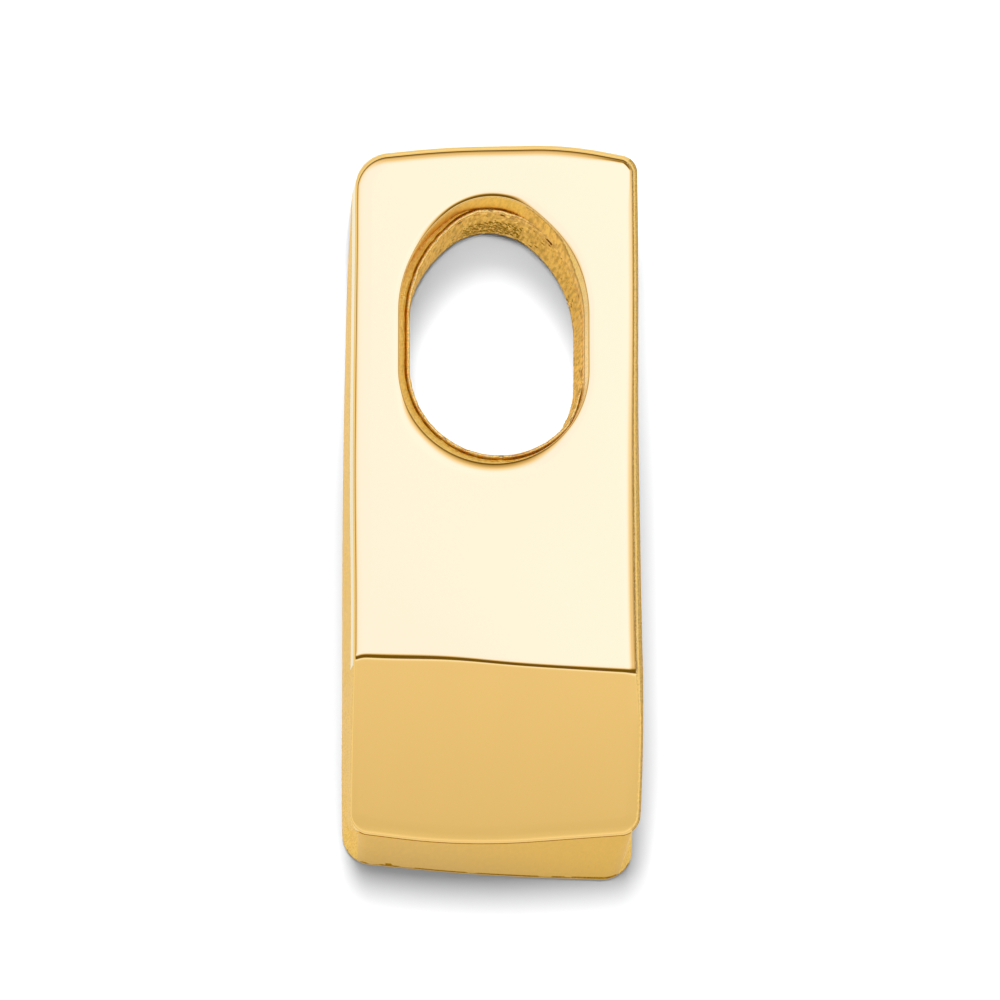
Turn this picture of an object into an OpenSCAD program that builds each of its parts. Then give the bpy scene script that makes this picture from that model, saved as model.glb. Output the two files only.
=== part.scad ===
// Slide pendant of cast yellow gold, in millimetres.
// It lies on its flat back: +Z points at the viewer and +Y at the end with the tunnel.
// The origin is on the back, at the middle of the piece's box.

/* [Whole piece] */
// Thickness from the flat back to the polished front
thickness = 3.4; // [3:0.1:4.2]
// Width across the upper end
upper_width = 5.6; // [5.4:0.02:6.4]
// Width across the lower end
lower_width = 5.8; // [5.4:0.02:6.4]
// Most that each long side bulges past the line between its corners
side_bulge = 0.06; // [0.02:0.01:0.1]

/* [Front plate] */
// Thickness of the front plate
plate_thickness = 1.15; // [0.9:0.05:1.3]
// Length of the front plate, seen from the front
plate_length = 13.98; // [13:0.02:16]
// Drop of the upper left corner below the crown of the upper end
upper_left_drop = 0.25; // [0.1:0.01:0.35]
// Drop of the upper right corner below the crown of the upper end
upper_right_drop = 0.19; // [0.1:0.01:0.4]
// Rise of the crown along the lower end
lower_crown = 0.19; // [0.1:0.01:0.4]
// Reach of the fillet at the upper left corner, along each side
upper_left_fillet = 0.62; // [0.3:0.02:0.9]
// Reach of the fillet at the upper right corner, along each side
upper_right_fillet = 0.28; // [0.2:0.02:0.56]
// Reach of the fillets at the two lower corners
lower_fillet = 0.36; // [0.2:0.02:0.6]

/* [Fold] */
// Distance from the plate's upper crown down to the fold
fold_distance = 10.52; // [9.5:0.02:11.5]
// Angle by which the front bends down below the fold
fold_angle = 19.5; // [10:0.5:22]
// Turn of the fold line, clockwise seen from the front
fold_turn = 2.7; // [0:0.1:4]

/* [Foot of the body] */
// How far the foot reaches past the plate, at mid-width
foot_reach = 0.41; // [0.2:0.02:0.6]
// Rise of the crown along the foot's edge
foot_crown = 0.1; // [0.04:0.01:0.16]
// Turn of the foot's edge, clockwise seen from the front
foot_turn = 3.3; // [0:0.1:4]
// Reach of the fillets at the foot's two corners
foot_fillet = 0.48; // [0.2:0.02:0.7]
// Lean of the foot's sloping end, from upright
foot_lean = 28; // [5:1:35]
// Height of the upright edge below the slope
foot_edge = 0.12; // [0.05:0.01:0.3]

/* [Seam] */
// Width of the seam between the plate and the body
seam_width = 0.08; // [0.04:0.01:0.15]
// Depth of the seam
seam_depth = 0.08; // [0.04:0.01:0.15]

/* [Tunnel] */
// Width of the tunnel through the body
tunnel_width = 3.59; // [3.3:0.01:3.8]
// Length of the tunnel through the body
tunnel_length = 5.03; // [4.8:0.01:5.4]
// Distance from the plate's upper crown down to the tunnel's middle
tunnel_distance = 3.62; // [3.5:0.01:4.2]
// How far the tunnel lies to the right of the piece's middle line
tunnel_right = 0.08; // [0:0.01:0.15]
// Step by which the plate's hole is wider than the tunnel, at each side
plate_hole_step = 0.105; // [0.05:0.005:0.15]
// Step by which the plate's hole is longer than the tunnel, at each end
plate_hole_end_step = 0.19; // [0.1:0.005:0.22]
// How far the plate's hole lies to the left of the tunnel
plate_hole_left = 0.19; // [0:0.01:0.25]
// How far the plate's hole lies below the tunnel
plate_hole_down = 0.15; // [0:0.01:0.18]

/* [Hidden] */

gold = [0.93, 0.76, 0.44];
// Largest angle between two points of an outline's arc
arc_step = 9;
$fn = 96;
// Reach of the cutting blocks, well past the piece on every side
far = 20;

body_height = thickness - plate_thickness;
upper_y = plate_length / 2;
lower_y = -plate_length / 2;
fold_y = upper_y - fold_distance;
tunnel_y = upper_y - tunnel_distance;
foot_y = lower_y - foot_reach;
// Drop of the foot's edge from mid-width to either corner
foot_drop = tan(foot_turn) * lower_width / 2;
// Fillets that reach this far draw a shallow corner out into a long curve
upper_reach = 0.75;
// Rise of the upper end's highest corner above the crown, before its fillet
crown_rise = 0.06;
lower_reach = 1.35;
bulge_reach = 3;

// Corners of the front plate and of the body, anticlockwise.
// Columns: x, y, reach of the fillet along each side.
plate_corners = [
    [ upper_width / 2, upper_y - upper_right_drop, upper_right_fillet],
    [ 0.25 * upper_width, upper_y + crown_rise, upper_reach],
    [-0.18 * upper_width, upper_y - crown_rise / 2, upper_reach],
    [-upper_width / 2, upper_y - upper_left_drop, upper_left_fillet],
    [-lower_width / 2 - side_bulge, 0, bulge_reach],
    [-lower_width / 2, lower_y + lower_crown, lower_fillet],
    [-0.1 * lower_width, lower_y - lower_crown * 0.4, lower_reach],
    [ lower_width / 2, lower_y + lower_crown, lower_fillet]
];
body_corners = [
    plate_corners[0],
    plate_corners[1],
    plate_corners[2],
    plate_corners[3],
    plate_corners[4],
    [-lower_width / 2, foot_y + foot_drop, foot_fillet],
    [0, foot_y - foot_crown, lower_reach],
    [ lower_width / 2, foot_y - foot_drop, foot_fillet]
];

function unit(v) = v / norm(v);

function flat(corner) = [corner[0], corner[1]];

// Points along the fillet of one corner, between its neighbours before and after it.
function fillet_points(before, corner, after) =
    let (
        to_before = unit(flat(before) - flat(corner)),
        to_after = unit(flat(after) - flat(corner)),
        half_angle = acos(to_before * to_after) / 2,
        radius = corner[2] * tan(half_angle),
        centre = flat(corner) + unit(to_before + to_after) * radius / sin(half_angle),
        first = flat(corner) + to_before * corner[2] - centre,
        start = atan2(first[1], first[0]),
        sweep = 180 - 2 * half_angle,
        steps = max(4, ceil(sweep / arc_step))
    )
    [for (i = [0 : steps])
        centre + radius * [cos(start + sweep * i / steps), sin(start + sweep * i / steps)]];

// Outline of a table of corners, each rounded by its fillet.
function rounded_outline(corners) =
    let (count = len(corners))
    [for (i = [0 : count - 1])
        each fillet_points(corners[(i + count - 1) % count], corners[i], corners[(i + 1) % count])];

// The same outline drawn in towards the piece's middle line, by a distance at each side.
function drawn_in(points, distance) =
    [for (p = points) [p[0] - sign(p[0]) * distance, p[1] - sign(p[1]) * distance]];

function middle(values) = (min(values) + max(values)) / 2;

plate_outline = rounded_outline(plate_corners);
body_outline = rounded_outline(body_corners);
all_points = concat(plate_outline, body_outline);
centre_x = middle([for (p = all_points) p[0]]);
centre_y = middle([for (p = all_points) p[1]]);

// Everything below the bent surface that lies at the given height above the fold.
module below_fold(height) {
    difference() {
        translate([-far, -far, -far])
            cube([2 * far, 2 * far, height + far]);
        translate([0, fold_y, height])
            rotate([0, 0, -fold_turn])
                rotate([fold_angle, 0, 0])
                    translate([-far, -2 * far, 0])
                        cube([2 * far, 2 * far, far]);
    }
}

// Oval of the tunnel: a round lower end, and an upper end of two flank arcs and a tip arc.
module tunnel_oval(width, length) {
    half = width / 2;
    flank = 1.38 * half;
    tip = 0.77 * half;
    tip_rise = sqrt(pow(flank - tip, 2) - pow(flank - half, 2));
    low_y = half - length / 2;
    shoulder_y = length / 2 - tip - tip_rise;
    join_rise = tip_rise * flank / (flank - tip);
    translate([0, low_y])
        circle(r = half);
    translate([-half, low_y])
        square([width, shoulder_y - low_y]);
    intersection() {
        translate([half - flank, shoulder_y])
            circle(r = flank);
        translate([flank - half, shoulder_y])
            circle(r = flank);
        translate([-half, low_y])
            square([width, shoulder_y - low_y + join_rise]);
    }
    translate([0, shoulder_y + tip_rise])
        circle(r = tip);
}

// Cast body, with a foot that slopes outwards below the plate.
module cast_body() {
    difference() {
        intersection() {
            linear_extrude(height = thickness)
                polygon(body_outline);
            below_fold(body_height - seam_width / 2);
        }
        translate([0, foot_y - foot_crown, foot_edge])
            rotate([0, 0, -foot_turn])
                rotate([-foot_lean, 0, 0])
                    translate([-far, -far, 0])
                        cube([2 * far, far, 2 * far]);
    }
}

// Polished plate, bent along the fold.
module front_plate() {
    difference() {
        intersection() {
            linear_extrude(height = thickness)
                polygon(plate_outline);
            below_fold(thickness);
        }
        below_fold(body_height + seam_width / 2);
    }
}

// Solder between the plate and the body, at the bottom of the seam.
module solder_seam() {
    difference() {
        intersection() {
            linear_extrude(height = thickness)
                polygon(drawn_in(plate_outline, seam_depth));
            below_fold(body_height + seam_width);
        }
        below_fold(body_height - seam_width);
    }
}

module tunnel() {
    translate([tunnel_right, tunnel_y, -far / 2])
        linear_extrude(height = far)
            tunnel_oval(tunnel_width, tunnel_length);
    translate([tunnel_right - plate_hole_left, tunnel_y - plate_hole_down, body_height])
        linear_extrude(height = far)
            tunnel_oval(tunnel_width + 2 * plate_hole_step, tunnel_length + 2 * plate_hole_end_step);
}

module slide_body() {
    color(gold)
        translate([-centre_x, -centre_y, 0])
            difference() {
                union() {
                    cast_body();
                    solder_seam();
                    front_plate();
                }
                tunnel();
            }
}

slide_body();
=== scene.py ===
import math

import bpy
import numpy as np
from mathutils import Matrix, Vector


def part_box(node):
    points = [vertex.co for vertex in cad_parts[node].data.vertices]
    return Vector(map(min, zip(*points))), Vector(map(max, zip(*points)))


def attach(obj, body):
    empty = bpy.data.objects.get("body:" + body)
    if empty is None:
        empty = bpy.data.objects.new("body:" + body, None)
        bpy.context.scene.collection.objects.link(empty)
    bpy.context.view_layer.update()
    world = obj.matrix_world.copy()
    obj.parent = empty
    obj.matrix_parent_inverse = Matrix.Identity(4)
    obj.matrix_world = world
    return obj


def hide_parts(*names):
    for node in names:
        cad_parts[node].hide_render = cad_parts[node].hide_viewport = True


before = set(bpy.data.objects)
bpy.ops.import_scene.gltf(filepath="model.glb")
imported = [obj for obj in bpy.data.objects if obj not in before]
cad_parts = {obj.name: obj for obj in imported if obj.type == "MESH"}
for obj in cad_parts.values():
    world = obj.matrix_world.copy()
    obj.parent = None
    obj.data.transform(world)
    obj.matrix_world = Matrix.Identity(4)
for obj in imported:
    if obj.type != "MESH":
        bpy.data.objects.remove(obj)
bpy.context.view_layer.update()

# Front plate
# A sheet of yellow gold, bent once across and pierced by a long oval hole for the chain. Its front
# is polished to a mirror, which rolls its edges over, and its back is soldered flat onto the body.

# Sizes, in millimetres, are those of the part's source. A turn or slope is a tangent.
MM = 0.001
upper_width = 5.6
lower_width = 5.8
side_bulge = 0.06
plate_length = 13.98
plate_thickness = 1.15
upper_left_drop = 0.25
upper_right_drop = 0.19
lower_crown = 0.19
crown_rise = 0.06
upper_left_fillet = 0.62
upper_right_fillet = 0.28
lower_fillet = 0.36
upper_reach = 0.75
lower_reach = 1.35
bulge_reach = 3.0
fold_distance = 10.52
fold_slope = math.tan(math.radians(19.5))
fold_turn = math.tan(math.radians(2.7))
foot_turn = math.tan(math.radians(3.3))
foot_reach = 0.41
foot_crown = 0.1
seam_width = 0.08
tunnel_width = 3.59
tunnel_length = 5.03
tunnel_distance = 3.62
tunnel_right = 0.08
plate_hole_step = 0.105
plate_hole_end_step = 0.19
plate_hole_left = 0.19
plate_hole_down = 0.15

# Filing by hand has rounded three corners of the body a little differently from the source.
body_left_fillet = 0.44
foot_left_fillet = 0.56
foot_right_fillet = 0.62

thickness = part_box("slide_body")[1].z / MM
upper_y = plate_length / 2
lower_y = -plate_length / 2
foot_y = lower_y - foot_reach
foot_drop = foot_turn * lower_width / 2

# Corners of the plate and of the body: x, y, and the reach of the fillet along each side.
plate_corners = [
    (upper_width / 2, upper_y - upper_right_drop, upper_right_fillet),
    (0.25 * upper_width, upper_y + crown_rise, upper_reach),
    (-0.18 * upper_width, upper_y - crown_rise / 2, upper_reach),
    (-upper_width / 2, upper_y - upper_left_drop, upper_left_fillet),
    (-lower_width / 2 - side_bulge, 0, bulge_reach),
    (-lower_width / 2, lower_y + lower_crown, lower_fillet),
    (-0.1 * lower_width, lower_y - lower_crown * 0.4, lower_reach),
    (lower_width / 2, lower_y + lower_crown, lower_fillet),
]
body_corners = [
    *plate_corners[:3],
    (-upper_width / 2, upper_y - upper_left_drop, body_left_fillet),
    plate_corners[4],
    (-lower_width / 2, foot_y + foot_drop, foot_left_fillet),
    (0, foot_y - foot_crown, lower_reach),
    (lower_width / 2, foot_y - foot_drop, foot_right_fillet),
]


def rounded_outline(corners, arc_points=90, side_points=240):
    """Closed outline, anticlockwise. Each corner is an arc that touches both sides at its reach
    from the corner: the radius is the reach times the tangent of half the corner's angle, and
    the centre lies on the bisector. Straight sides join the arcs, with evenly spaced points."""
    places = np.array([corner[:2] for corner in corners])
    stretches = []
    for i, (place, corner) in enumerate(zip(places, corners)):
        to_before = places[i - 1] - place
        to_after = places[(i + 1) % len(places)] - place
        to_before = to_before / np.linalg.norm(to_before)
        to_after = to_after / np.linalg.norm(to_after)
        half_angle = np.arccos(to_before @ to_after) / 2
        radius = corner[2] * np.tan(half_angle)
        bisector = (to_before + to_after) / np.linalg.norm(to_before + to_after)
        centre = place + bisector * radius / np.sin(half_angle)
        first = place + to_before * corner[2] - centre
        sweep = (np.pi - 2 * half_angle) * np.linspace(0, 1, arc_points)
        turns = np.arctan2(first[1], first[0]) + sweep
        stretches.append(centre + radius * np.stack([np.cos(turns), np.sin(turns)], 1))
    joined = []
    for i, arc in enumerate(stretches):
        share = np.linspace(0, 1, side_points + 2)[1:-1, None]
        joined += [arc, arc[-1] + (stretches[(i + 1) % len(stretches)][0] - arc[-1]) * share]
    return np.concatenate(joined)


def bell(value, middle, width, power=2):
    """Bell curve: e to the minus of the distance from the middle, in widths, to a power. It is 1 at
    the middle. A power of 4 gives a flatter top and steeper flanks."""
    return np.exp(-(((value - middle) / width) ** power))


def soft_step(value, softness):
    """Logistic curve, from 0 well below zero to 1 well above it."""
    return 1 / (1 + np.exp(-value / softness))


def ramp(value, low, high):
    """Smoothstep of a value, from 0 at the low limit to 1 at the high one."""
    share = np.clip((value - low) / (high - low), 0, 1)
    return share * share * (3 - 2 * share)


def filed(outline, left_swells, right_swells):
    """The outline after filing by hand. Each swell adds to x on one side of the slide, as a bell
    curve along y with its height, middle and width."""
    x, y = outline[:, 0], outline[:, 1]
    left, right = (
        sum(height * bell(y, middle, width) for height, middle, width in swells)
        for swells in (left_swells, right_swells))
    on_right = soft_step(x, 0.2)
    return np.stack([x + right * on_right + left * (1 - on_right), y], 1)


# The slide's middle is the middle of both outlines' common box, before filing.
plate_outline = rounded_outline(plate_corners)
body_outline = rounded_outline(body_corners)
all_points = np.concatenate([plate_outline, body_outline])
middle = (all_points.min(0) + all_points.max(0)) / 2
plate_outline = plate_outline - middle
body_outline = body_outline - middle

# Swells that filing left on the two sides: height in x, and middle and width in y.
plate_left_swells = [(-0.065, 6.2, 3.4), (-0.02, 6.4, 0.8), (0.035, -2.0, 2.0)]
body_left_swells = [(-0.02, 5.0, 4.0), (0.03, 6.3, 0.7), (-0.025, -5.5, 2.0)]
right_swells = [(-0.026, 1.8, 2.4), (0.05, -5.2, 1.9), (0.012, 5.0, 3.0)]
foot_right_swell = (0.085, -7.0, 0.7)
plate_outline = filed(plate_outline, plate_left_swells, right_swells)
body_outline = filed(body_outline, body_left_swells, [*right_swells, foot_right_swell])
fold_y = upper_y - fold_distance - middle[1]
tunnel_x = tunnel_right - middle[0]
tunnel_y = upper_y - tunnel_distance - middle[1]


def fold_line(x):
    """Height in y of the fold at x. It falls to the right in a straight line. Buffing has bowed
    its left half up, and its left end curls down into the edge, each as a bell curve."""
    lift = 0.01
    bow = 0.05 * bell(x, -1.0, 1.1)
    curl = 0.075 * bell(x, -2.93, 0.16)
    return fold_y - fold_turn * x + bow + lift - curl


def fold_drop(points):
    """Drop of the front below the level of its upper part. The slope grows from nothing to the
    bevel's full slope across a narrow band at the fold, as a smoothstep, so the drop is the
    integral of that: slope times the band's width times (share cubed less half its fourth power).
    The band is wider where the fold is worn, towards its two ends."""
    x, y = points[..., 0], points[..., 1]
    above = (y - fold_line(x)) * math.cos(math.atan(fold_turn))
    half_band = 0.092 + 0.03 * bell(x, -2.0, 1.2) + 0.014 * bell(x, 2.4, 0.9)
    half_band = half_band + 0.045 * bell(x, 2.8, 0.16)
    share = np.clip((half_band - above) / (2 * half_band), 0, 1)
    blend = fold_slope * 2 * half_band * (share**3 - share**4 / 2)
    return blend + fold_slope * np.clip(-above - half_band, 0, None)


def oval_outline(width, length, centre, arc_points=400):
    """The tunnel's oval, anticlockwise from its right side: a half circle below, straight flanks,
    two flank arcs of 1.38 half widths, and a tip arc of 0.77 half widths that touches both."""
    half = width / 2
    flank, tip = 1.38 * half, 0.77 * half
    rise = math.sqrt((flank - tip) ** 2 - (flank - half) ** 2)
    low = half - length / 2
    shoulder = length / 2 - tip - rise
    meet = math.atan2(rise, flank - half)
    around = np.linspace(0, 1, arc_points)[:, None]

    def arc(middle_x, middle_y, radius, start, end):
        turn = start + (end - start) * around
        return np.hstack([middle_x + radius * np.cos(turn), middle_y + radius * np.sin(turn)])

    right = arc(half - flank, shoulder, flank, 0, meet)
    top = arc(0, shoulder + rise, tip, meet, math.pi - meet)
    left = arc(flank - half, shoulder, flank, math.pi - meet, math.pi)
    below = arc(0, low, half, math.pi, 2 * math.pi)
    down = left[-1] + (below[0] - left[-1]) * around
    up = below[-1] + (right[0] - below[-1]) * around
    return np.concatenate([p[1:] for p in (right, top, left, down, below, up)]) + centre


def outward(outline):
    """Unit normals of a closed anticlockwise outline: its tangent turned a quarter to the right."""
    tangent = np.roll(outline, -1, 0) - np.roll(outline, 1, 0)
    normal = np.stack([tangent[:, 1], -tangent[:, 0]], 1)
    return normal / np.linalg.norm(normal, axis=1, keepdims=True)


def spread(outline, count):
    """Places along an outline, as fractional indices. The points that are wanted for each
    millimetre add up along the outline, and each place takes an equal share of the sum, so the
    places lie closest together in the corners, at the fold's two ends and over the crown."""
    gap_on_sides, gap_in_corners, gap_at_fold, gap_on_crown = 0.075, 0.022, 0.014, 0.035
    at_upper_end = outline[:, 1] > 6
    step = np.linalg.norm(np.roll(outline, -1, 0) - outline, axis=1)
    normal = outward(outline)
    turn = np.linalg.norm(np.roll(normal, -1, 0) - normal, axis=1) / step
    from_fold = outline[:, 1] - fold_line(outline[:, 0])
    wanted = 1 / np.where(turn > 0.5, gap_in_corners, gap_on_sides)
    wanted += 1 / gap_at_fold * bell(from_fold, 0, 0.16, 4)
    wanted += 1 / gap_on_crown * bell(outline[:, 0], 0, 0.95, 4) * at_upper_end
    reached = np.concatenate([[0], np.cumsum(wanted * step)])
    return np.interp(np.arange(count) * reached[-1] / count, reached, np.arange(len(reached)))


def at(values, places):
    """Values of a closed outline at fractional indices, in a straight line between its points."""
    low = np.floor(places).astype(int)
    share = (places - low)[:, None]
    return values[low % len(values)] * (1 - share) + values[(low + 1) % len(values)] * share


def edge_at(outline, places):
    """Points and unit normals of a closed outline at fractional indices."""
    out = at(outward(outline), places)
    return at(outline, places), out / np.linalg.norm(out, axis=1, keepdims=True)


def seen_from(outline, centre, towards):
    """Points and normals of an outline on the rays from its centre through the given points."""
    angles = np.arctan2(outline[:, 1] - centre[1], outline[:, 0] - centre[0])
    wanted = np.arctan2(towards[:, 1] - centre[1], towards[:, 0] - centre[0])
    sides = np.hstack([outline, outward(outline)])
    found = np.stack([np.interp(wanted, angles, column, period=2 * np.pi) for column in sides.T], 1)
    return found[:, :2], found[:, 2:] / np.linalg.norm(found[:, 2:], axis=1, keepdims=True)


def rolled_edge(radius, shoulder, sink, arc_steps, shoulder_steps):
    """Inset and depth of a buffed edge, from the face to the wall: a shallow parabola across the
    shoulder, then a quarter circle. The radius holds one value for each point of the outline."""
    share = np.linspace(0, 1, shoulder_steps, endpoint=False)[:, None]
    turn = np.linspace(math.radians(4), math.pi / 2, arc_steps)[:, None]
    inset = np.concatenate([shoulder + (radius - shoulder) * share, radius * (1 - np.sin(turn))])
    depth = np.concatenate([sink * share**2 + 0 * radius, sink + radius * (1 - np.cos(turn))])
    return inset[..., None], depth


# Every finish of the gold, in the order in which they are made below.
golds = []


def ring_mesh(name, rings, finishes):
    """Closed mesh of rings carried round the tunnel: rings[k, i] is point i of ring k, in
    millimetres, and the last ring joins the first. finishes[k, i] is the gold, by its place in
    the list of golds, of the face between ring k and the next at point i."""
    ring_count, point_count = rings.shape[:2]
    k, i = np.meshgrid(np.arange(ring_count), np.arange(point_count), indexing="ij")
    next_k, next_i = (k + 1) % ring_count, (i + 1) % point_count
    corners = np.stack([k * point_count + i, k * point_count + next_i,
                        next_k * point_count + next_i, next_k * point_count + i], -1).reshape(-1, 4)
    used, slots = np.unique(np.broadcast_to(finishes, (ring_count, point_count)), return_inverse=True)
    mesh = bpy.data.meshes.new(name)
    mesh.vertices.add(ring_count * point_count)
    mesh.vertices.foreach_set("co", (rings * MM).astype(np.float32).ravel())
    mesh.loops.add(corners.size)
    mesh.loops.foreach_set("vertex_index", corners.astype(np.int32).ravel())
    mesh.polygons.add(len(corners))
    mesh.polygons.foreach_set("loop_start", np.arange(len(corners), dtype=np.int32) * 4)
    for gold in used:
        mesh.materials.append(golds[gold])
    mesh.polygons.foreach_set("material_index", slots.astype(np.int32).ravel())
    mesh.polygons.foreach_set("use_smooth", np.ones(len(corners), bool))
    mesh.update()
    mesh.validate()
    piece = bpy.data.objects.new(name, mesh)
    bpy.context.scene.collection.objects.link(piece)
    return piece


def feed(tree, node, inputs):
    """Sets a shader node's inputs to plain values, or joins them to other nodes' outputs."""
    for socket, value in inputs.items():
        if isinstance(value, bpy.types.NodeSocket):
            tree.links.new(value, node.inputs[socket])
        else:
            node.inputs[socket].default_value = value


def add_node(tree, kind, inputs, **settings):
    """A new node of a shader tree, with its settings and its inputs."""
    node = tree.nodes.new("ShaderNode" + kind)
    for setting, value in settings.items():
        setattr(node, setting, value)
    feed(tree, node, inputs)
    return node


def worked_out(tree, operation, *values):
    """One step of a shader's sums: a Math node fed with numbers or with other nodes' outputs."""
    return add_node(tree, "Math", dict(enumerate(values)), operation=operation).outputs[0]


# Grain: fine noise at two sizes. The fine one gives relief and light and dark specks, and the
# coarse one gives patches that are duller than the rest. Both are drawn out along the height.
fine_noise_scale = 30000
patch_noise_scale = 2500
relief_height = 0.00002
drawn_out = (1, 1, 0.15)
grain = bpy.data.node_groups.new("grain", "ShaderNodeTree")
grain_inputs = [("Colour", "Color", (1, 1, 1, 1)), ("Contrast", "Float", 0.0), ("Scale", "Float", 1.0),
                ("Relief", "Float", 0.5), ("Roughness", "Float", 0.3), ("Spread", "Float", 0.1)]
for label, kind, value in grain_inputs:
    socket = grain.interface.new_socket(label, in_out="INPUT", socket_type="NodeSocket" + kind)
    socket.default_value = value
for label, kind in [("Colour", "Color"), ("Normal", "Vector"), ("Roughness", "Float")]:
    grain.interface.new_socket(label, in_out="OUTPUT", socket_type="NodeSocket" + kind)
given = grain.nodes.new("NodeGroupInput").outputs
whole = add_node(grain, "TexCoord", {}).outputs["Object"]
surface = add_node(grain, "Mapping", {"Vector": whole, "Scale": drawn_out}).outputs[0]
fine_scale = worked_out(grain, "MULTIPLY", given["Scale"], fine_noise_scale)
fine = add_node(grain, "TexNoise", {"Vector": surface, "Scale": fine_scale, "Detail": 3})
patches = add_node(grain, "TexNoise", {"Vector": surface, "Scale": patch_noise_scale, "Detail": 4})
relief = add_node(grain, "Bump", {
    "Distance": relief_height, "Strength": given["Relief"], "Height": fine.outputs["Fac"]})
shade = add_node(grain, "MapRange", {
    "Value": fine.outputs["Fac"], "From Min": 0.36, "From Max": 0.68,
    "To Min": worked_out(grain, "MULTIPLY_ADD", given["Contrast"], 0.35, 1),
    "To Max": worked_out(grain, "SUBTRACT", 1, given["Contrast"])}, interpolation_type="SMOOTHSTEP")
shaded = add_node(grain, "VectorMath", {
    0: given["Colour"], "Scale": shade.outputs["Result"]}, operation="SCALE")
feed(grain, grain.nodes.new("NodeGroupOutput"), {
    "Colour": shaded.outputs[0],
    "Normal": relief.outputs[0],
    "Roughness": worked_out(
        grain, "MULTIPLY_ADD", patches.outputs["Fac"], given["Spread"], given["Roughness"])})


def gold_finish(name, colour, edge_tint, roughness, spread, contrast, scale, relief):
    """Makes one finish of the gold and returns its place in the list of golds. It is plain metal,
    whose colour, normal and roughness come from the grain group, and edge_tint is its colour at
    grazing angles. Spread is how much the patches add to the roughness."""
    material = bpy.data.materials.new(name)
    material.use_nodes = True
    tree = material.node_tree
    grained = add_node(tree, "Group", {}, node_tree=grain)
    feed(tree, grained, {"Colour": (*colour, 1), "Contrast": contrast, "Scale": scale,
                         "Relief": relief, "Roughness": roughness, "Spread": spread})
    feed(tree, tree.nodes["Principled BSDF"], {
        "Specular Tint": (*edge_tint, 1),
        "Metallic": 1,
        "Base Color": grained.outputs["Colour"],
        "Normal": grained.outputs["Normal"],
        "Roughness": grained.outputs["Roughness"]})
    golds.append(material)
    return len(golds) - 1


# The golds of the plate. Polished is the mirror of its front and of its upper and left sides, satin
# the right side and the sides of the bevel, ledge the step down round the hole, and buffed the
# lower end, whose colour is darkened as painted shade for the shadowed floor it mirrors. Cast, a
# band of brown painted shade, and worn follow one another up the hole's right wall. Soft is the
# roll of the right edge, which is brown painted shade where it turns steep.
polished = gold_finish("polished_gold", (0.93, 0.62, 0.22), edge_tint=(1, 0.98, 0.7),
                       roughness=0.04, spread=0.02, contrast=0.0, scale=0.3, relief=0.0)
satin = gold_finish("satin_gold", (0.98, 0.68, 0.23), edge_tint=(1, 0.8, 0.42),
                    roughness=0.26, spread=0.12, contrast=0.2, scale=1.2, relief=0.6)
ledge = gold_finish("ledge_gold", (0.95, 0.6, 0.15), edge_tint=(1, 0.8, 0.4),
                    roughness=0.24, spread=0.1, contrast=0.14, scale=0.6, relief=0.5)
# Buffed gold's dark colour is painted shade, standing in for the shadowed floor that the lower end
# mirrors.
buffed_painted_shade = gold_finish("buffed_painted_shade_gold", (0.78, 0.475, 0.1), edge_tint=(1, 0.9, 0.7),
                     roughness=0.2, spread=0.08, contrast=0.03, scale=0.6, relief=0.06)
# Brown is painted shade: it darkens the steep roll of the right edge and a band on the hole's right
# wall.
brown_painted_shade = gold_finish("brown_painted_shade_edge", (0.66, 0.43, 0.13), edge_tint=(0.8, 0.6, 0.35),
                    roughness=0.25, spread=0.15, contrast=0.3, scale=1.0, relief=0.8)
cast = gold_finish("cast_gold", (0.95, 0.6, 0.19), edge_tint=(1, 0.76, 0.36),
                   roughness=0.22, spread=0.15, contrast=0.38, scale=0.5, relief=0.6)
worn = gold_finish("worn_gold", (0.95, 0.66, 0.24), edge_tint=(1, 0.82, 0.4),
                   roughness=0.12, spread=0.1, contrast=0.2, scale=0.8, relief=0.3)
soft = gold_finish("soft_edge", (0.9, 0.6, 0.2), edge_tint=(1, 0.85, 0.5),
                   roughness=0.19, spread=0.08, contrast=0.12, scale=1.0, relief=0.15)

ray_count = 800
plate_edge, plate_out = edge_at(plate_outline, spread(plate_outline, ray_count))
hole_centre = np.array([tunnel_x - plate_hole_left, tunnel_y - plate_hole_down])
hole_width = tunnel_width + 2 * plate_hole_step
hole_length = tunnel_length + 2 * plate_hole_end_step
hole_outline = oval_outline(hole_width, hole_length, hole_centre)

# The top of the hole is a little flatter on the right than the oval.
on_shoulder = bell(hole_outline[:, 0], 1.0, 0.55) * (hole_outline[:, 1] > hole_centre[1])
hole_outline[:, 1] -= 0.035 * on_shoulder

# The outer edge is rolled over most along the right side and the upper end. At the tight corner
# on the upper right its shoulder is narrow.
tight_corner_x, tight_corner_y, tight_corner_reach = 2.72, 6.96, 0.75
above_fold = plate_edge[:, 1] - fold_line(plate_edge[:, 0])
facing_up = np.clip(plate_out[:, 1], 0, 1) ** 0.8
facing_right = np.clip(plate_out[:, 0], 0, 1) * (0.4 + 0.6 * ramp(above_fold, -1.1, 0.3))
worn_right = facing_right * ramp(-plate_edge[:, 1], -4.0, 2.0)
from_corner = np.hypot(plate_edge[:, 0] - tight_corner_x, plate_edge[:, 1] - tight_corner_y)
tight_corner = bell(from_corner, 0, tight_corner_reach, 4)
edge_radius = 0.05 + 0.085 * facing_up + 0.08 * facing_right + 0.05 * worn_right
edge_shoulder = 0.34 + 0.06 * worn_right - 0.12 * tight_corner
edge_sink = (0.010 + 0.001 * facing_up + 0.003 * worn_right) * (1 - 0.45 * tight_corner)
edge_arc_steps = 11
outer_inset, outer_depth = rolled_edge(edge_radius, edge_shoulder, edge_sink, edge_arc_steps, 9)

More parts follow.
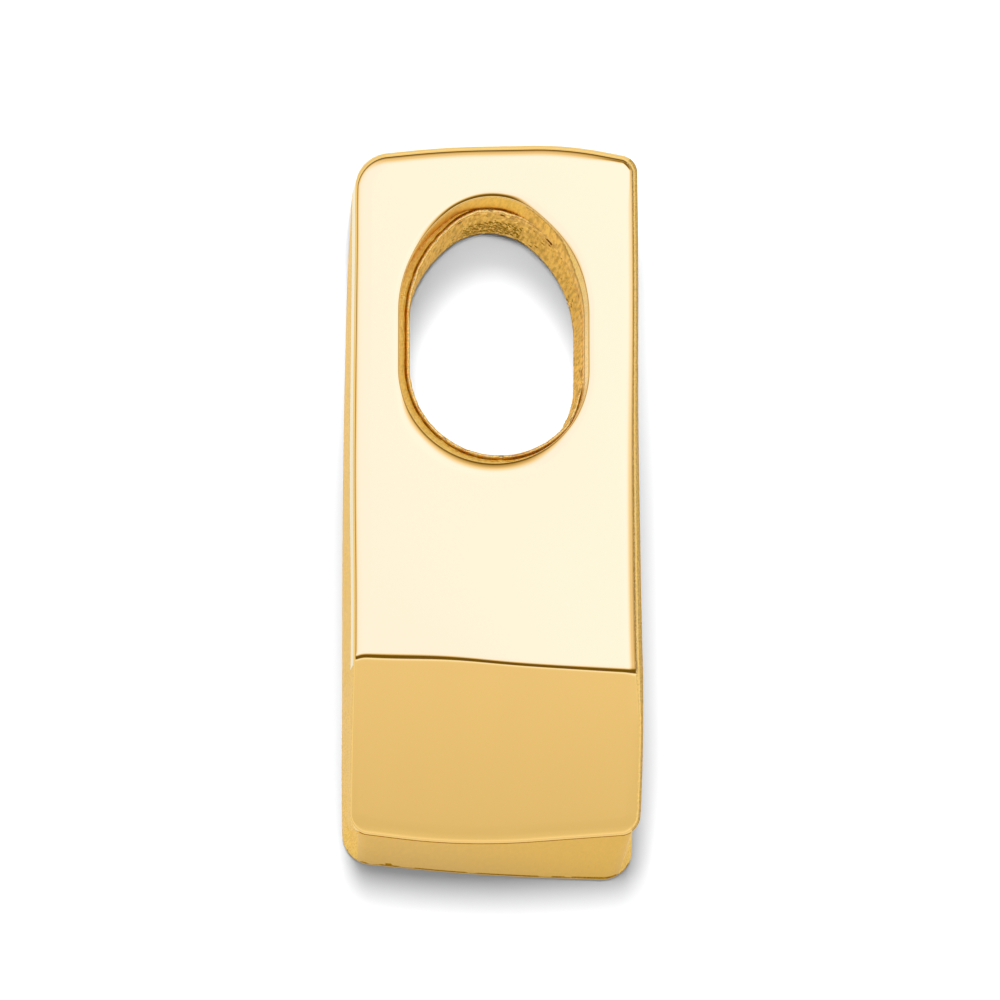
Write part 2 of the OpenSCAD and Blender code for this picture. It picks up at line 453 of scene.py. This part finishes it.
# The hole's rim is sharper. The chain has worn its lower end and its upper right shoulder.
hole_edge, hole_out = seen_from(hole_outline, hole_centre, plate_edge)
upper_rim = ramp(hole_out[:, 1] - 0.2 * hole_out[:, 0], 0.6, 0.95)
worn_low = ramp(-hole_out[:, 1] - 0.25 * hole_out[:, 0], 0.45, 0.85)
worn_rim = ramp(-hole_out[:, 1], 0.2, 0.9) + 0.8 * ramp(hole_out[:, 0] + hole_out[:, 1], 1.15, 1.4)
rim_radius = 0.020 + 0.01 * upper_rim
rim_shoulder = 0.15 + 0.07 * worn_rim + 0.12 * worn_low
rim_sink = 0.006 + 0.009 * upper_rim + 0.007 * worn_rim + 0.0125 * worn_low
rim_inset, rim_depth = rolled_edge(rim_radius, rim_shoulder, rim_sink, 6, 9)
face_start = hole_edge + hole_out * rim_inset[0]
face_end = plate_edge - plate_out * outer_inset[0]


def at_depth(points, depth):
    """Ring of points that lie the given depth below the bent front, straight down."""
    return np.concatenate([points, (thickness - fold_drop(points) - depth)[:, None]], 1)


def face_shares():
    """Shares of the way from the hole's rim to the outer edge, one row for each ring of the face.
    A cluster of rings keeps to the fold where a ray crosses it. The crossing is found in a few
    steps, each by the miss in y divided by the ray's whole fall in y. On a ray that doesn't cross
    the fold, a soft minimum squeezes the cluster against the outer edge, so the rings stay in
    order."""
    rings_before, rings_at_fold, rings_after = 14, 27, 10
    past_the_edge = 3.0
    fall = face_start[:, 1] - face_end[:, 1]
    crossing = np.full(ray_count, 0.8)
    for _ in range(6):
        here = face_start + (face_end - face_start) * crossing[:, None]
        miss = here[:, 1] - fold_line(here[:, 0])
        step = np.where(fall > 0.5, miss / np.maximum(fall, 0.5), past_the_edge)
        crossing = np.clip(crossing + step, 0, past_the_edge)
    length = np.linalg.norm(face_end - face_start, axis=1)
    across_fold = np.linspace(-1, 1, rings_at_fold)[:, None]
    cluster = crossing * length + 0.17 * across_fold + 0.05 * across_fold**5
    room = length - 0.16 + 0.004 * np.arange(rings_at_fold)[:, None]
    softness = 0.05
    over = (cluster - room) / softness
    squeezed = cluster - softness * np.logaddexp(0, np.minimum(over, 30))
    cluster = np.where(over > 30, room, squeezed)
    before = cluster[0] * (np.linspace(0, 1, rings_before, endpoint=False)[:, None] ** 0.9)
    after_share = np.linspace(0, 1, rings_after + 1)[1:, None]
    after = cluster[-1] + (length - cluster[-1]) * after_share
    return np.concatenate([before, cluster, after]) / length


# The rings run up the hole's wall, over its rim, across the front, over the outer edge, down the
# outer wall and back along the underside.
wall_rings = 12
underside = plate_thickness - seam_width / 2
under_radius = 0.03
rings = []
for depth in np.linspace(underside, rim_depth[-1, 0] + 0.03, wall_rings):
    rings.append(at_depth(hole_edge, depth))
for inset, depth in zip(rim_inset[::-1], rim_depth[::-1]):
    rings.append(at_depth(hole_edge + hole_out * inset, depth))
for share in face_shares()[1:-1]:
    rings.append(at_depth(face_start + (face_end - face_start) * share[:, None], 0))
for inset, depth in zip(outer_inset, outer_depth):
    rings.append(at_depth(plate_edge - plate_out * inset, depth))
outer_wall_from = len(rings)
for share in np.linspace(0.1, 1, 9):
    depth = outer_depth[-1] + (underside - under_radius - outer_depth[-1]) * share
    rings.append(at_depth(plate_edge, depth))
for turn in np.radians([30, 60, 90]):
    inset = under_radius * (1 - np.cos(turn))
    depth = underside - under_radius * (1 - np.sin(turn))
    rings.append(at_depth(plate_edge - plate_out * inset, depth))
for share in (0.03, 0.2, 0.5, 0.8, 0.97):
    under_edge = plate_edge - plate_out * under_radius
    rings.append(at_depth(under_edge + (hole_edge - under_edge) * share, underside))
plate_rings = np.stack(rings)

# Where each gold shows on the plate. A later line covers the ones before it.
ring_index = np.arange(len(plate_rings))[:, None]
on_bevel = above_fold < -0.12
on_lower_end = plate_out[:, 1] < -0.75
on_right_side = plate_out[:, 0] > 0.6
outer_wall = ring_index >= outer_wall_from
edge_from = outer_wall_from - edge_arc_steps
hole_wall = ring_index < wall_rings - 1
right_hole_wall = hole_wall & (hole_out[:, 0] > 0.5)
bright_from = wall_rings - 1 - 7 * ramp(hole_out[:, 0], 0.75, 0.98)
left_edge = (ring_index >= outer_wall_from - 5) & on_bevel & (plate_out[:, 0] < -0.8)
right_edge = (ring_index >= edge_from) & (ring_index < outer_wall_from - 1) & on_right_side
plate_finish = np.full((len(plate_rings), ray_count), polished)
for gold, where in [
    (satin, outer_wall & on_bevel),
    # The lower end's buffed gold is darkened as painted shade.
    (buffed_painted_shade, outer_wall & on_bevel & on_lower_end),
    (ledge, hole_wall),
    (cast, right_hole_wall),
    # A band of brown painted shade just below the worn gold.
    (brown_painted_shade, right_hole_wall & (ring_index > bright_from - 2)),
    (worn, right_hole_wall & (ring_index > bright_from)),
    (satin, left_edge),
    (soft, right_edge),
    # Brown painted shade where the right edge turns steep.
    (brown_painted_shade, right_edge & (ring_index >= edge_from + 3)),
    (satin, outer_wall & on_right_side),
]:
    plate_finish = np.where(where, gold, plate_finish)
front_plate = ring_mesh("front_plate", plate_rings, plate_finish)
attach(front_plate, "root")
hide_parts("slide_body")

# Cast body
# The lower and thicker part, cast in one from the same gold. Its sides keep a fine satin grain, the
# wall of its tunnel is rough from casting and filing, and its foot slopes out past the plate, with
# a thin lip that stands up against the plate's lower end.

foot_edge = 0.12
worn_line = 0.02
base_radius = 0.05
ledge_radius = 0.035
lip_reach = 0.06
lip_below_front = 0.15
lip_thinning = 0.019
upper_inset = 0.04
bead_start = 0.16
bead_width = 0.08
most_bead_shift = 0.095
tunnel_taper = 0.05
tunnel_round = 14.6

# Two golds that the plate doesn't have: painted shade, laid in the grooves, pits, file strokes and
# torn edge and along the foot's lower edge, and the flat step of the ledge.
painted_shade = gold_finish("painted_shade_gold", (0.5, 0.29, 0.045), edge_tint=(0.62, 0.38, 0.12),
                   roughness=0.3, spread=0.15, contrast=0.4, scale=1.0, relief=0.6)
step_gold = gold_finish("step_gold", (1.0, 0.54, 0.075), edge_tint=(1, 0.8, 0.4),
                        roughness=0.24, spread=0.1, contrast=0.14, scale=0.6, relief=0.5)

# Both outlines have the same points in the same order, so one set of places serves them both. Near
# the lower end the upper ring is drawn in a little, behind the edge of the plate.
body_places = spread(body_outline, ray_count)
foot_ring, foot_out = edge_at(body_outline, body_places)
upper_ring = at(plate_outline, body_places)
near_lower_end = soft_step(lower_y + 1.2 - upper_ring[:, 1:], 0.1)
upper_ring = upper_ring - at(outward(plate_outline), body_places) * upper_inset * near_lower_end
tunnel_centre = np.array([tunnel_x, tunnel_y])
tunnel_outline = oval_outline(tunnel_width, tunnel_length, tunnel_centre)
tunnel_ring, tunnel_out = seen_from(tunnel_outline, tunnel_centre, foot_ring)
way_round = np.cumsum(np.linalg.norm(np.diff(tunnel_ring, axis=0), axis=1))
last_step = np.linalg.norm(tunnel_ring[0] - tunnel_ring[-1])
round_share = np.concatenate([[0], way_round]) / (way_round[-1] + last_step)


def waves(round_share, height, seed, shortest, longest, count=70):
    """Smooth random relief between about -1 and 1: a sum of cosine waves that close up round the
    tunnel, each with its own direction, phase and wavelength between two limits in millimetres."""
    pick = np.random.default_rng(seed)
    length = np.exp(pick.uniform(np.log(shortest), np.log(longest), count))
    heading = pick.uniform(0, np.pi, count)
    turns = np.round(tunnel_round / length * np.cos(heading))
    rises = np.sin(heading) / length
    phase = pick.uniform(0, 2 * np.pi, count)
    angle = 2 * np.pi * (round_share[..., None] * turns + height[..., None] * rises) + phase
    return np.cos(angle).sum(-1) / np.sqrt(count)


body_rings, body_finish = [], []


def add_ring(points, z, gold):
    """Adds one ring to the body, with its height and its gold, each for all or for every point."""
    body_rings.append(np.column_stack([points, np.broadcast_to(z, ray_count)]))
    body_finish.append(np.broadcast_to(gold, ray_count))


# The flat back, its rounded edge, and the sides up to the lip. The foot is buffed, with its colour
# darkened as painted shade, and its lower edge is worn bright, with an uneven line of painted shade
# just above.
body_top = plate_thickness + seam_width / 2
top_z = thickness - fold_drop(upper_ring) - body_top
facing_down = -foot_out[:, 1]
at_foot = ramp(facing_down, 0.55, 0.9)
# Where the foot faces down, the buffed gold's darker colour is painted shade.
side_gold = np.where(facing_down > 0.86, buffed_painted_shade, satin)
lip_ring = upper_ring + foot_out * lip_reach * at_foot[:, None]
lip_z = top_z + (body_top - lip_below_front) * at_foot
lip_radius = ledge_radius - lip_thinning * at_foot
back_inner = tunnel_ring + tunnel_out * 0.03
back_outer = foot_ring - foot_out * base_radius
for share in (0.0, 0.25, 0.5, 0.75, 1.0):
    add_ring(back_inner + (back_outer - back_inner) * share, 0, satin)
for turn in np.radians([18, 36, 54, 72, 90]):
    inset = base_radius * (1 - np.sin(turn))
    add_ring(foot_ring - foot_out * inset, base_radius * (1 - np.cos(turn)), satin)
add_ring(foot_ring, foot_edge - worn_line, np.where(facing_down > 0.5, worn, side_gold))
# Uneven height of the painted shade line along the foot's lower edge.
shade_line_wobble = waves(np.arange(ray_count) / ray_count, np.zeros(ray_count), seed=16, shortest=0.1, longest=0.8)
slope_shares = np.concatenate([[0.004, 0.012, 0.025], np.linspace(0.05, 0.97, 18)])
for share in slope_shares:
    z = foot_edge + (lip_z - lip_radius - foot_edge) * share
    in_shade_line = (share < 0.015 + 0.02 * shade_line_wobble) & (facing_down > 0.5)
    add_ring(foot_ring + (lip_ring - foot_ring) * share, z, np.where(in_shade_line, painted_shade, side_gold))
for turn in np.radians([0, 30, 60, 90]):
    inset = lip_radius * (1 - np.cos(turn))
    add_ring(lip_ring - foot_out * inset[:, None], lip_z - lip_radius * (1 - np.sin(turn)), side_gold)
add_ring(lip_ring - foot_out * (lip_radius + 0.001)[:, None], top_z - 0.001, side_gold)

# The flat ledge under the plate, which shows through the plate's hole.
ledge_z = thickness - body_top
ledge_outer = upper_ring - foot_out * ledge_radius
ledge_inner = tunnel_ring + tunnel_out * bead_start
for share in (0.04, 0.3, 0.6, 0.9, 1.0):
    points = ledge_outer + (ledge_inner - ledge_outer) * share
    add_ring(points, thickness - fold_drop(points) - body_top, step_gold)

# The ledge ends in a fine raised bead that the file left between two grooves, which are painted
# dark as painted shade. Each point of its profile is the distance out from the tunnel and the rise
# above the ledge. Where the plate's edge would cover the bead, the bead moves in towards the
# tunnel's middle, and where the plate overhangs the tunnel, the bead is as rough as the wall.
bead_profile = [
    (0.120, 0.000), (0.110, -0.008), (0.100, -0.030), (0.088, -0.034), (0.078, -0.014), (0.070, 0.008),
    (0.062, 0.020), (0.054, 0.022), (0.048, 0.020), (0.036, 0.0142), (0.024, 0.008), (0.016, 0.003),
    (0.006, -0.010), (0.002, -0.030), (0.008, -0.050), (0.022, -0.064), (0.028, -0.080), (0.018, -0.110),
    (0.002, -0.150)]
# The bead's two grooves get the painted shade gold.
bead_gold = [step_gold] * 2 + [painted_shade] * 2 + [worn] * 9 + [painted_shade] * 4 + [cast] * 2
plate_hole_ring = seen_from(hole_outline, tunnel_centre, tunnel_ring)[0]
room_for_bead = np.sum((plate_hole_ring - tunnel_ring) * tunnel_out, 1) - bead_width
bead_shift = np.clip(room_for_bead, -most_bead_shift, 0)
uneven = 1 + 0.35 * waves(round_share, 0 * round_share, seed=5, shortest=0.15, longest=1.2)
for (offset, rise), gold in zip(bead_profile, bead_gold):
    aside = offset + 0.004 * (uneven - 1) + bead_shift
    shown = np.where(room_for_bead < -0.1, cast, gold)
    add_ring(tunnel_ring + tunnel_out * aside[:, None], ledge_z + rise * uneven, shown)

# The tunnel's wall: the lumps and grain of the casting, scattered pits, and at the upper end the
# slanting strokes of a file. Pits, deep strokes and the torn lower edge there get painted shade.
wall_top = ledge_z + bead_profile[-1][1]
wall_foot = 0.04
stroke_gap = 0.15
stroke_slant = 0.9
mark_depth = 0.032
at_top = ramp(tunnel_out[:, 1], 0.8, 0.97)
for share in np.linspace(0.012, 1, 61):
    z = wall_top - (wall_top - wall_foot) * share
    height = np.full(ray_count, z)
    lumps = 0.007 * waves(round_share, height, seed=11, shortest=0.09, longest=0.5)
    skin = 0.004 * waves(round_share, height, seed=12, shortest=0.05, longest=0.12)
    pits = mark_depth * ramp(waves(round_share, height, seed=13, shortest=0.10, longest=0.3), 1.35, 2.1)
    wander = 0.02 * waves(round_share, height, seed=14, shortest=0.3, longest=1.0)
    stroke = np.cos(2 * np.pi * (round_share * tunnel_round - stroke_slant * z + wander) / stroke_gap)
    broken = 0.7 * waves(round_share, height, seed=17, shortest=0.12, longest=0.5)
    within = at_top * ramp(z, 0.1, 0.24) * ramp(-z, -1.25, -1.05)
    strokes = mark_depth * ramp(stroke + broken, 0.0, 0.8) * within
    ends = ramp(share, 0, 0.04) * ramp(1 - share, 0, 0.03)
    into_wall = (lumps + skin + pits + strokes) * ends - tunnel_taper * share
    into_wall = into_wall + bead_shift * (1 - ramp(share, 0, 0.3))
    tears = waves(round_share, 0 * height, seed=15, shortest=0.3, longest=1.5)
    torn = (share > 0.955) & (at_top > 0.05) & (tears > -0.2)
    gold = np.where((pits > 0.010) | (strokes > 0.018) | torn, painted_shade, cast)
    add_ring(tunnel_ring + tunnel_out * into_wall[:, None], z, gold)
for turn in np.radians([30, 60]):
    inset = tunnel_taper - wall_foot * (1 - np.cos(turn))
    add_ring(tunnel_ring - tunnel_out * inset, wall_foot * (1 - np.sin(turn)), cast)
cast_body = ring_mesh("cast_body", np.stack(body_rings), np.stack(body_finish))
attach(cast_body, "root")
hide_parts("slide_body")

# Solder seam
# A thin film of gold solder that holds the plate on the body. It stops a little short of the
# edges, so a fine dark line shows round the sides and round the tunnel's ledge.

seam_depth = 0.08
seam_depth_at_hole = 0.045
seam_overlap = 0.02
seam_outer = plate_edge - plate_out * seam_depth
seam_inner = hole_edge + hole_out * seam_depth_at_hole
seam_top = underside - seam_overlap
seam_bottom = body_top + seam_overlap
seam_profile = [(0, seam_bottom)]
seam_profile += [(share, seam_top) for share in (0, 0.25, 0.5, 0.75, 1)]
seam_profile += [(share, seam_bottom) for share in (1, 0.75, 0.5, 0.25)]
seam_rings = np.stack([
    at_depth(seam_inner + (seam_outer - seam_inner) * share, depth) for share, depth in seam_profile])
solder_seam = ring_mesh("solder_seam", seam_rings, satin)
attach(solder_seam, "root")
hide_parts("slide_body")

# Floor
# The slide lies on a plain white sheet of paper, two metres across. The gold mirrors it mostly as
# a sheet that is lit evenly all over, as paper in a white tent is.

floor_mesh = bpy.data.meshes.new("floor")
floor_mesh.from_pydata([(-1, -1, 0), (1, -1, 0), (1, 1, 0), (-1, 1, 0)], [], [(0, 1, 2, 3)])
floor = bpy.data.objects.new("floor", floor_mesh)
bpy.context.scene.collection.objects.link(floor)
white_paper = bpy.data.materials.new("white_paper")
white_paper.use_nodes = True
paper_tree = white_paper.node_tree
paper = paper_tree.nodes["Principled BSDF"]
feed(paper_tree, paper, {
    "Base Color": (0.95, 0.95, 0.95, 1), "Roughness": 0.9, "Specular IOR Level": 0.0})
lit_paper = add_node(paper_tree, "Emission", {"Strength": 0.88})
mirrored_ray = add_node(paper_tree, "LightPath", {}).outputs["Is Glossy Ray"]
seen_paper = add_node(paper_tree, "MixShader", {
    0: worked_out(paper_tree, "MULTIPLY", mirrored_ray, 0.75),
    1: paper.outputs[0],
    2: lit_paper.outputs[0]})
feed(paper_tree, paper_tree.nodes["Material Output"], {"Surface": seen_paper.outputs[0]})
floor_mesh.materials.append(white_paper)

# Studio light
# A plain white tent lights everything, and a soft box over the upper end lays the shadow below the
# slide. The gold mirrors the tent's parts: a cold white ceiling panel, the dark gap round it, and
# the pale cloth beyond the gap.

world = bpy.data.worlds.new("studio")
bpy.context.scene.world = world
world.use_nodes = True
tent = world.node_tree
tent.nodes.clear()

# The panel's limits to each side and along the slide, in degrees from straight above, and the light
# that is mirrored at each number of degrees off the panel.
panel_x = (-1.0, 11.0)
panel_y = (1.0, 15.5)
horizon = 90.0
tent_colours = [
    (0.0, (1.10, 1.45, 3.10)),
    (2.0, (1.10, 1.42, 2.90)),
    (5.0, (1.02, 1.02, 1.20)),
    (8.0, (0.62, 0.52, 0.35)),
    (11.0, (0.17, 0.12, 0.012)),
    (23.5, (0.17, 0.12, 0.012)),
    (26.5, (1.20, 1.30, 1.70)),
    (29.0, (1.10, 1.20, 1.45)),
    (31.5, (0.94, 0.92, 0.87)),
    (33.3, (0.93, 0.91, 0.86)),
    (35.2, (0.82, 0.79, 0.69)),
    (39.0, (0.80, 0.77, 0.66)),
    (48.0, (1.10, 1.10, 1.05)),
    (90.0, (0.85, 0.85, 0.85)),
]


def tent_sum(operation, *values):
    """One step of the tent's sums."""
    return worked_out(tent, operation, *values)


def beyond(lean, limits):
    """Degrees by which a direction's lean is past the nearer of two limits, or 0 between them."""
    below, above = tent_sum("SUBTRACT", limits[0], lean), tent_sum("SUBTRACT", lean, limits[1])
    return tent_sum("MAXIMUM", tent_sum("MAXIMUM", below, above), 0.0)


direction = add_node(tent, "TexCoord", {}).outputs["Generated"]
x, y, up = add_node(tent, "SeparateXYZ", {0: direction}).outputs
lean_x, lean_y = (
    tent_sum("MULTIPLY", tent_sum("ARCTAN2", side, up), math.degrees(1)) for side in (x, y))
off_x, off_y = beyond(lean_x, panel_x), beyond(lean_y, panel_y)
squares = tent_sum("ADD", tent_sum("MULTIPLY", off_x, off_x), tent_sum("MULTIPLY", off_y, off_y))
off_panel = tent_sum("SQRT", squares)
tent_ramp = add_node(tent, "ValToRGB", {0: tent_sum("DIVIDE", off_panel, horizon)})
stops = tent_ramp.color_ramp.elements
for stop, (degrees, colour) in zip(stops, (tent_colours[0], tent_colours[-1])):
    stop.position, stop.color = degrees / horizon, (*colour, 1)
for degrees, colour in tent_colours[1:-1]:
    stops.new(degrees / horizon).color = (*colour, 1)

# The light grows past a number of degrees to the right and along the slide, by a share for each
# degree, and the tent's cloth makes it uneven.
grows_x, grows_y = (3.7, 0.25), (6.6, 0.075)
across, along = (
    tent_sum("MULTIPLY", tent_sum("SUBTRACT", lean, start), share)
    for lean, (start, share) in ((lean_x, grows_x), (lean_y, grows_y)))
grown = tent_sum("MINIMUM", tent_sum("MAXIMUM", tent_sum("ADD", across, along), 0.0), 1.0)
leans = add_node(tent, "CombineXYZ", {0: lean_x, 1: lean_y})
cloth = add_node(tent, "TexNoise", {"Vector": leans.outputs[0], "Scale": 0.6, "Detail": 1})
glow = tent_sum("MULTIPLY_ADD", grown, 0.055, 0.955)
glow = tent_sum("ADD", glow, tent_sum("MULTIPLY", cloth.outputs["Fac"], 0.07))
mirrored = add_node(tent, "Background", {"Color": tent_ramp.outputs[0], "Strength": glow})
plain = add_node(tent, "Background", {"Color": (1, 1, 1, 1), "Strength": 0.45})
seen_tent = add_node(tent, "MixShader", {
    0: add_node(tent, "LightPath", {}).outputs["Is Glossy Ray"],
    1: plain.outputs[0],
    2: mirrored.outputs[0]})
add_node(tent, "OutputWorld", {"Surface": seen_tent.outputs[0]})


def hang(light, place, aim):
    """Puts a light at its place, in metres, turned about x and then y to shine at its aim. It
    isn't mirrored in the gold."""
    across, along, above = (a - b for a, b in zip(place, aim))
    lamp = bpy.data.objects.new(light.name, light)
    lamp.location = place
    lamp.rotation_euler = (-math.atan2(along, above), math.atan2(across, above), 0)
    lamp.visible_glossy = False
    bpy.context.scene.collection.objects.link(lamp)
    return lamp


softbox = bpy.data.lights.new("softbox", "AREA")
softbox.shape = "RECTANGLE"
softbox.size = 0.075
softbox.size_y = 0.11
softbox.energy = 0.9
hang(softbox, place=(-0.024, 0.12, 0.29), aim=(0, 0, 0))

# A narrow oval lamp shines through the tunnel, onto the floor seen in it.
spot = bpy.data.lights.new("lamp_over_tunnel", "SPOT")
spot.energy = 0.105
spot.spot_size = math.radians(7.4)
spot.spot_blend = 0.7
spot.shadow_soft_size = 0.0024
lamp_over_tunnel = hang(spot, place=(-0.0020, 0.0070, 0.06), aim=(0.0002, 0.0044, 0))
lamp_over_tunnel.scale = (0.72, 1, 1)
bpy.context.scene.cycles.caustics_reflective = False

# Camera
# A long lens nearly square to the front, a little below the slide and to its left.

tilt_down = math.tan(math.radians(8.4))
tilt_left = math.tan(math.radians(4.9))
camera_distance = 111.0
target = np.array([0.035, 0.022, thickness])
camera_data = bpy.data.cameras.new("camera")
camera_data.lens = 200
camera_data.sensor_width = 36
camera_data.clip_start = 0.001
camera_data.clip_end = 10
camera = bpy.data.objects.new("camera", camera_data)
bpy.context.scene.collection.objects.link(camera)
towards = np.array([-tilt_left, -tilt_down, 1.0])
towards = towards / np.linalg.norm(towards)
right = np.cross([0.0, 1.0, 0.0], towards)
right = right / np.linalg.norm(right)
upright = np.cross(towards, right)
eye = (target + towards * camera_distance) * MM
turned = Matrix((tuple(right), tuple(upright), tuple(towards))).transposed()
camera.matrix_world = Matrix.Translation(tuple(eye)) @ turned.to_4x4()
bpy.context.scene.camera = camera
bpy.context.scene.view_settings.view_transform = "Standard"
